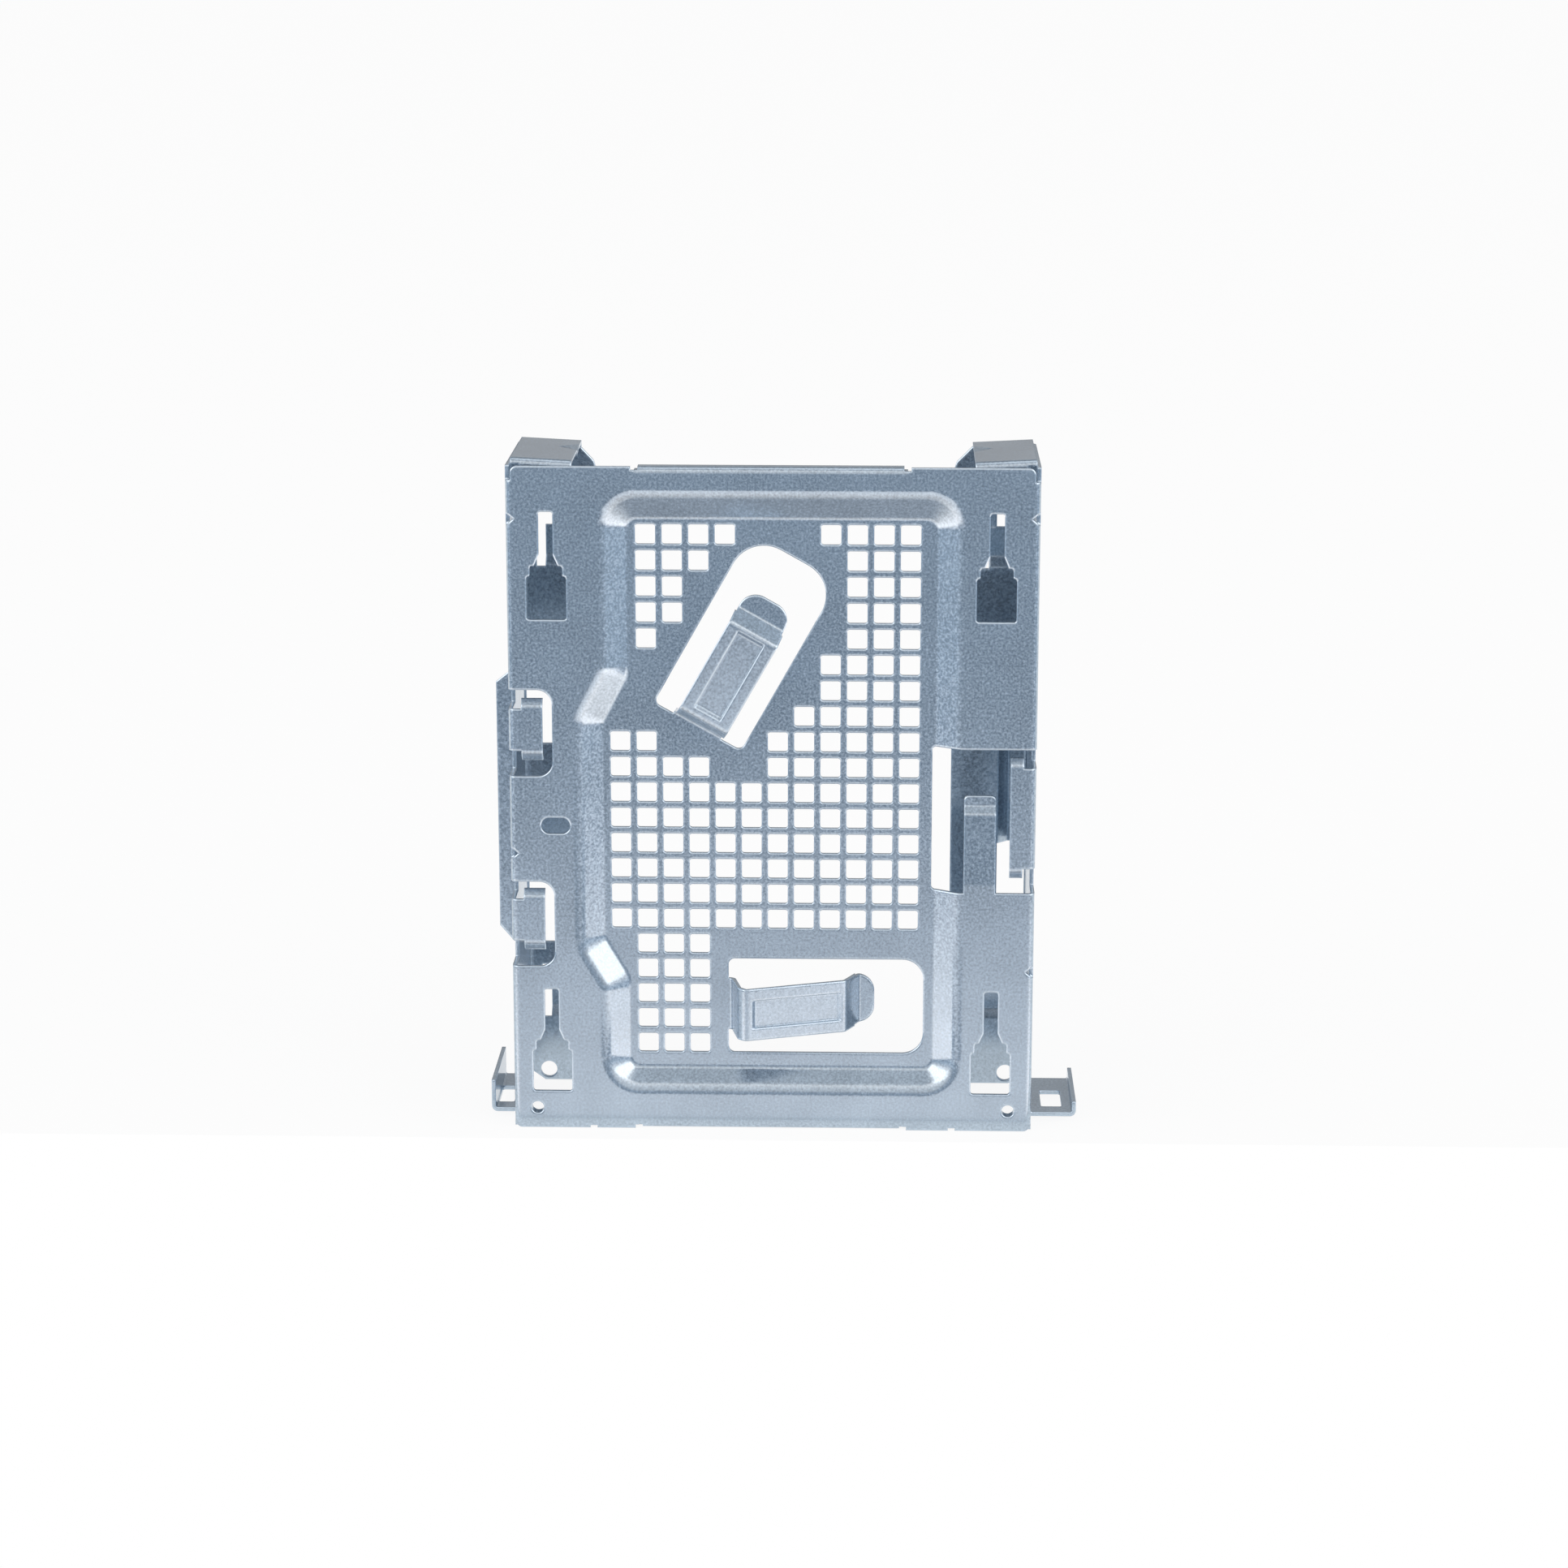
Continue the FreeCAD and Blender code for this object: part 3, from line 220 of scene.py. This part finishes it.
def floor_material():
    """A matt pale floor that looks nearly white and keeps a faint share of the shadows."""
    material, tree, surface = new_material("PaleFloor")
    nodes, links = tree.nodes, tree.links
    surface.inputs["Base Color"].default_value = solid(FLOOR_COLOUR)
    surface.inputs["Roughness"].default_value = FLOOR_ROUGHNESS
    surface.inputs["Specular IOR Level"].default_value = FLOOR_SPECULAR
    glow = nodes.new("ShaderNodeEmission")
    sight = nodes.new("ShaderNodeLightPath")
    seen = nodes.new("ShaderNodeMath")
    seen.operation = "MAXIMUM"
    links.new(sight.outputs["Is Camera Ray"], seen.inputs[0])
    links.new(sight.outputs["Is Glossy Ray"], seen.inputs[1])
    share = nodes.new("ShaderNodeMath")
    share.operation = "MULTIPLY"
    share.inputs[1].default_value = FLOOR_GLOW
    links.new(seen.outputs["Value"], share.inputs[0])
    blend = nodes.new("ShaderNodeMixShader")
    links.new(share.outputs["Value"], blend.inputs["Fac"])
    links.new(surface.outputs["BSDF"], blend.inputs[1])
    links.new(glow.outputs["Emission"], blend.inputs[2])
    links.new(blend.outputs["Shader"], nodes["Material Output"].inputs["Surface"])
    return material


def add_floor():
    """A large flat square under the caddy and behind it, its front edge close to the plate."""
    mesh = bpy.data.meshes.new("Floor")
    shape = bmesh.new()
    bmesh.ops.create_grid(shape, x_segments=1, y_segments=1, size=FLOOR_HALF)
    bmesh.ops.translate(shape, verts=shape.verts, vec=(0.0, FLOOR_FRONT + FLOOR_HALF, 0.0))
    shape.to_mesh(mesh)
    shape.free()
    floor = bpy.data.objects.new("Floor", mesh)
    scene.collection.objects.link(floor)
    mesh.materials.append(floor_material())
    return floor


def add_lamps():
    """The soft lamps, turned towards the caddy."""
    for name, place in LAMPS:
        lamp = bpy.data.lights.new(name, "AREA")
        lamp.shape = "SQUARE"
        lamp.size = LAMP_SIDE
        lamp.energy = LAMP_POWER
        thing = bpy.data.objects.new(name, lamp)
        thing.location = place
        way = Vector(LAMP_AIM) - Vector(place)
        thing.rotation_euler = way.to_track_quat("-Z", "Y").to_euler()
        scene.collection.objects.link(thing)


def add_surroundings():
    """The world: white to the camera, and to the steel a glow that changes with height and depth."""
    world = bpy.data.worlds.new("PaleSky")
    world.use_nodes = True
    nodes, links = world.node_tree.nodes, world.node_tree.links
    way = nodes.new("ShaderNodeTexCoord")
    split = nodes.new("ShaderNodeSeparateXYZ")
    links.new(way.outputs["Generated"], split.inputs["Vector"])

    def ramp(part, stops):
        span = nodes.new("ShaderNodeMapRange")
        span.inputs["From Min"].default_value = -1.0
        links.new(split.outputs[part], span.inputs["Value"])
        fade = nodes.new("ShaderNodeValToRGB")
        steps = fade.color_ramp.elements
        # New steps start in the middle, and the loop below gives each its place.
        while len(steps) < len(stops):
            steps.new(0.5)
        for step, (place, colour) in zip(steps, stops):
            step.position = (place + 1.0) / 2.0
            step.color = solid(colour)
        links.new(span.outputs["Result"], fade.inputs["Fac"])
        return fade.outputs["Color"]

    shade = colour_mix(nodes)
    shade.blend_type = "MULTIPLY"
    shade.inputs["Factor"].default_value = 1.0
    links.new(ramp("Z", SKY_GLOW), shade.inputs["A"])
    links.new(ramp("Y", DEPTH_SHADE), shade.inputs["B"])
    sight = nodes.new("ShaderNodeLightPath")
    backdrop = colour_mix(nodes)
    backdrop.inputs["B"].default_value = solid(WHITE)
    links.new(sight.outputs["Is Camera Ray"], backdrop.inputs["Factor"])
    links.new(shade.outputs["Result"], backdrop.inputs["A"])
    links.new(backdrop.outputs["Result"], nodes["Background"].inputs["Color"])
    scene.world = world


def add_camera():
    """The camera of the photograph."""
    forward = Vector((math.sin(CAMERA_YAW) * math.cos(CAMERA_PITCH),
                      math.cos(CAMERA_YAW) * math.cos(CAMERA_PITCH),
                      -math.sin(CAMERA_PITCH)))
    level = Vector((math.cos(CAMERA_YAW), -math.sin(CAMERA_YAW), 0.0))
    down = forward.cross(level)
    right = level * math.cos(CAMERA_ROLL) + down * math.sin(CAMERA_ROLL)
    under = down * math.cos(CAMERA_ROLL) - level * math.sin(CAMERA_ROLL)
    turn = Matrix((right, -under, -forward)).transposed().to_4x4()
    lens = bpy.data.cameras.new("Camera")
    lens.sensor_width = SENSOR
    lens.lens = FOCAL_PIXELS * SENSOR / PHOTO_PIXELS
    lens.clip_start = CAMERA_NEAR
    lens.clip_end = CAMERA_FAR
    camera = bpy.data.objects.new("Camera", lens)
    camera.matrix_world = Matrix.Translation(CAMERA_AT) @ turn
    scene.collection.objects.link(camera)
    scene.camera = camera


steel = steel_material()
for entry in caddy.material_slots:
    entry.material = steel
floor = add_floor()
add_lamps()
add_surroundings()
add_camera()
scene.view_settings.view_transform = "Standard"
